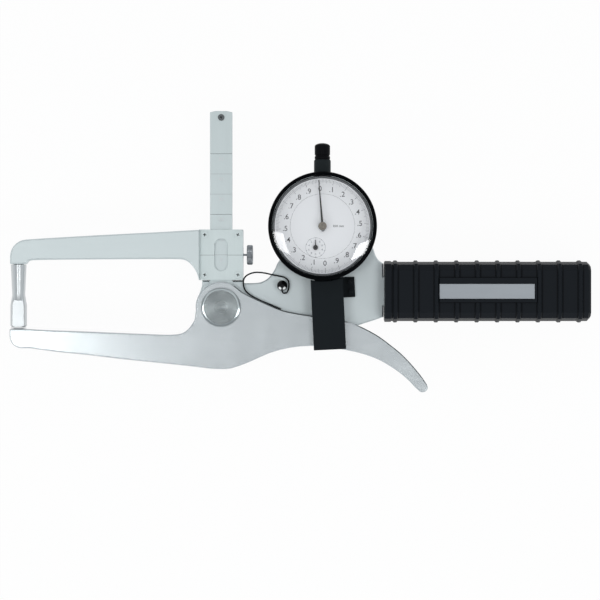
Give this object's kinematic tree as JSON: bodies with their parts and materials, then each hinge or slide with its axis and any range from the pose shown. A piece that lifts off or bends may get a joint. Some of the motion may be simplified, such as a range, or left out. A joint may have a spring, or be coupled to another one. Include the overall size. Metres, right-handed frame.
{
  "type": "dial caliper gauge",
  "caption": "Hand-held dial caliper gauge: sliding upper jaw on a scale bar, sprung lever with trigger, round dial with bezel, and a ribbed black grip.",
  "frame": {"origin": "on the lever's axis, in the rest plane of the pivot nut's back and the grip's back", "axes": "+X towards the grip, +Y from the trigger towards the dial's cap and along the scale bar, +Z out of the dial"},
  "size_m": [0.2858, 0.139, 0.0296],
  "materials": {
    "silver_enamel": "satin silver",
    "satin_alloy": "satin silver",
    "satin_steel": "satin",
    "ground_steel": "ground",
    "bright_steel": "bright",
    "dark_steel": "blackened",
    "gloss_black": "gloss black",
    "hand_black": "black",
    "moulded_plastic": "satin black moulding",
    "black_sheet": "satin black",
    "white_dial": "matt white",
    "clear_crystal": "clear",
    "brass": "turned",
    "bronze": "turned",
    "plate_aluminium": "brushed"
  },
  "bodies": {
    "frame": {"frame_plate": "silver_enamel", "scale_bar": "ground_steel", "bar_rivet_1": "ground_steel", "bar_rivet_2": "ground_steel", "bar_stop_screw": "dark_steel", "pivot_screw": "bright_steel", "pivot_nut": "bright_steel", "grip_front_shell": "moulded_plastic", "grip_rear_shell": "moulded_plastic", "grip_screw_1": "dark_steel", "grip_screw_2": "dark_steel", "grip_screw_3": "dark_steel", "name_plate": "plate_aluminium", "spring_post": "bright_steel", "return_spring": "dark_steel", "gauge_back_cover": "dark_steel", "back_screw_1": "dark_steel", "back_screw_2": "dark_steel", "back_screw_3": "dark_steel", "back_screw_4": "dark_steel", "gauge_case": "gloss_black", "lower_stem": "bright_steel", "upper_stem": "gloss_black", "dust_cap": "gloss_black", "dial_face": "white_dial", "spindle_spring": "dark_steel", "movement_plate": "brass", "hairspring": "dark_steel", "stem_bracket": "black_sheet", "bracket_screw_1": "bright_steel", "bracket_screw_2": "bright_steel", "spindle_cover": "black_sheet"},
    "lever": {"lever": "satin_alloy", "pivot_bush": "bronze", "lower_anvil": "satin_steel", "contact_pin": "bright_steel"},
    "jaw_slider": {"upper_jaw": "satin_alloy", "slider_cover": "ground_steel", "cover_screw_1": "bright_steel", "cover_screw_2": "bright_steel", "cover_screw_3": "bright_steel", "cover_screw_4": "bright_steel", "upper_anvil": "satin_steel"},
    "lock_pad": {"lock_pad": "brass"},
    "lock_screw": {"lock_screw": "dark_steel"},
    "bezel": {"bezel": "gloss_black", "crystal": "clear_crystal", "dial_ring": "white_dial"},
    "spindle": {"spindle": "bright_steel", "guide_pin": "bright_steel", "contact_point": "bright_steel"},
    "main_hand": {"main_hand": "hand_black", "centre_pinion": "brass"},
    "small_hand": {"small_hand": "hand_black", "rack_gear": "brass"},
    "take_up": {"take_up_gear": "brass"}
  },
  "joints": [
    {"name": "lever_pivot", "type": "hinge", "parent": "frame", "child": "lever", "pos_m": [0, 0, 0], "axis": [0, 0, 1], "range_deg": [0, 5.73], "stiffness_Nm_per_rad": 0.8, "springref_deg": -8.59, "deforming": ["return_spring"]},
    {"name": "spindle_slide", "type": "slide", "parent": "frame", "child": "spindle", "axis": [0, 1, 0], "range_m": [0, 0.005], "deforming": ["spindle_spring"]},
    {"name": "main_hand_turn", "type": "hinge", "parent": "frame", "child": "main_hand", "pos_m": [0.05, 0.0397, 0.0258], "axis": [0, 0, 1], "range_deg": [-1800, 0]},
    {"name": "small_hand_turn", "type": "hinge", "parent": "frame", "child": "small_hand", "pos_m": [0.0466, 0.02924, 0.025], "axis": [0, 0, 1], "range_deg": [0, 180]},
    {"name": "take_up_turn", "type": "hinge", "parent": "frame", "child": "take_up", "pos_m": [0.05689, 0.04549, 0.0205], "axis": [0, 0, 1], "range_deg": [0, 225], "deforming": ["hairspring"]},
    {"name": "jaw_slide", "type": "slide", "parent": "frame", "child": "jaw_slider", "axis": [0, 1, 0], "range_m": [0, 0.05]},
    {"name": "lock_screw_turn", "type": "hinge", "parent": "jaw_slider", "child": "lock_screw", "pos_m": [0.0109, 0.02592, 0.0065], "axis": [1, 0, 0], "range_deg": [0, 180.01]},
    {"name": "lock_pad_slide", "type": "slide", "parent": "jaw_slider", "child": "lock_pad", "axis": [-1, 0, 0], "range_m": [0, 0.00025]},
    {"name": "bezel_turn", "type": "hinge", "parent": "frame", "child": "bezel", "pos_m": [0.05, 0.0397, 0.026], "axis": [0, 0, 1], "continuous": true}
  ],
  "couplings": [
    {"joint": "spindle_slide", "follows": "lever_pivot", "m_per_rad": 0.05},
    {"joint": "main_hand_turn", "follows": "lever_pivot", "ratio": -314.16},
    {"joint": "small_hand_turn", "follows": "lever_pivot", "ratio": 31.416},
    {"joint": "take_up_turn", "follows": "lever_pivot", "ratio": 39.27},
    {"joint": "lock_screw_turn", "follows": "lock_pad_slide", "rad_per_m": 12566}
  ]
}
